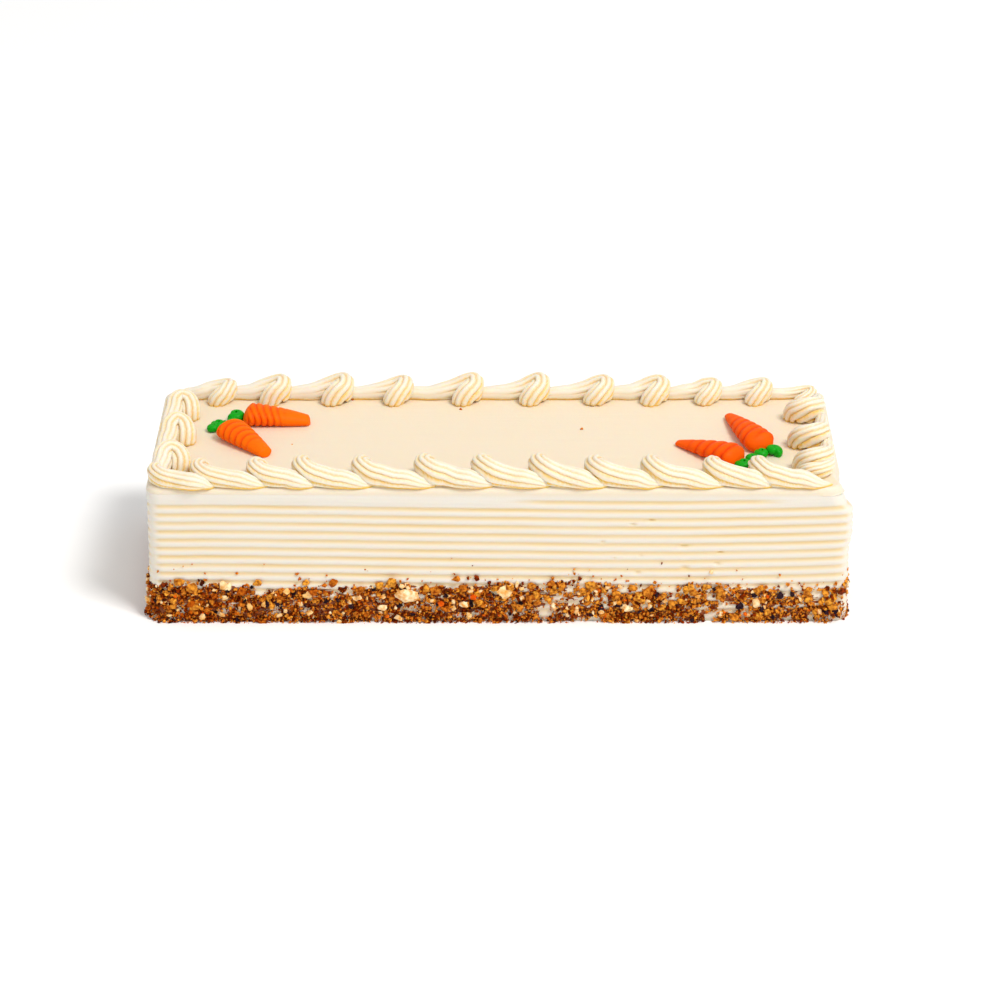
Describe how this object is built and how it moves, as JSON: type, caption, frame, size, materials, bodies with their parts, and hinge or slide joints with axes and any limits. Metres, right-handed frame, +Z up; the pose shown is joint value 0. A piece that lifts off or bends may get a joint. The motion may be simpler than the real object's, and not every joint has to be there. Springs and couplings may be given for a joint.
{
  "type": "carrot cake",
  "caption": "Long rectangular iced carrot cake with combed sides, a crumb and nut band round the foot, a piped shell border and piped carrots on top.",
  "frame": {"origin": "middle of the underside of the cake's bounding box, on the surface it stands on", "axes": "+X along the cake's length to the right, +Y from the front to the back, +Z up"},
  "size_m": [0.3378, 0.1208, 0.083],
  "materials": {
    "icing": "satin cream icing, combed on the sides and wiped smooth on top",
    "piped_icing": "satin cream icing piped through a star nozzle",
    "crumbs": "dry toasted cake crumbs, raisin and carrot bits",
    "nuts": "chopped toasted nuts",
    "carrot_icing": "glossy orange icing",
    "leaf_icing": "glossy green icing"
  },
  "bodies": {
    "root": {"cake_body": "icing", "shell_front_01": "piped_icing", "shell_front_02": "piped_icing", "shell_front_03": "piped_icing", "shell_front_04": "piped_icing", "shell_front_05": "piped_icing", "shell_front_06": "piped_icing", "shell_front_07": "piped_icing", "shell_front_08": "piped_icing", "shell_front_09": "piped_icing", "shell_front_10": "piped_icing", "shell_front_11": "piped_icing", "shell_front_12": "piped_icing", "shell_right_01": "piped_icing", "shell_right_02": "piped_icing", "shell_right_03": "piped_icing", "shell_right_04": "piped_icing", "shell_back_01": "piped_icing", "shell_back_02": "piped_icing", "shell_back_03": "piped_icing", "shell_back_04": "piped_icing", "shell_back_05": "piped_icing", "shell_back_06": "piped_icing", "shell_back_07": "piped_icing", "shell_back_08": "piped_icing", "shell_back_09": "piped_icing", "shell_back_10": "piped_icing", "shell_back_11": "piped_icing", "shell_left_01": "piped_icing", "shell_left_02": "piped_icing", "shell_left_03": "piped_icing", "carrot_left_back": "carrot_icing", "leaf_left_back": "leaf_icing", "carrot_left_front": "carrot_icing", "leaf_left_front": "leaf_icing", "carrot_right_front": "carrot_icing", "leaf_right_front": "leaf_icing", "carrot_right_back": "carrot_icing", "leaf_right_back": "leaf_icing"}
  },
  "joints": []
}
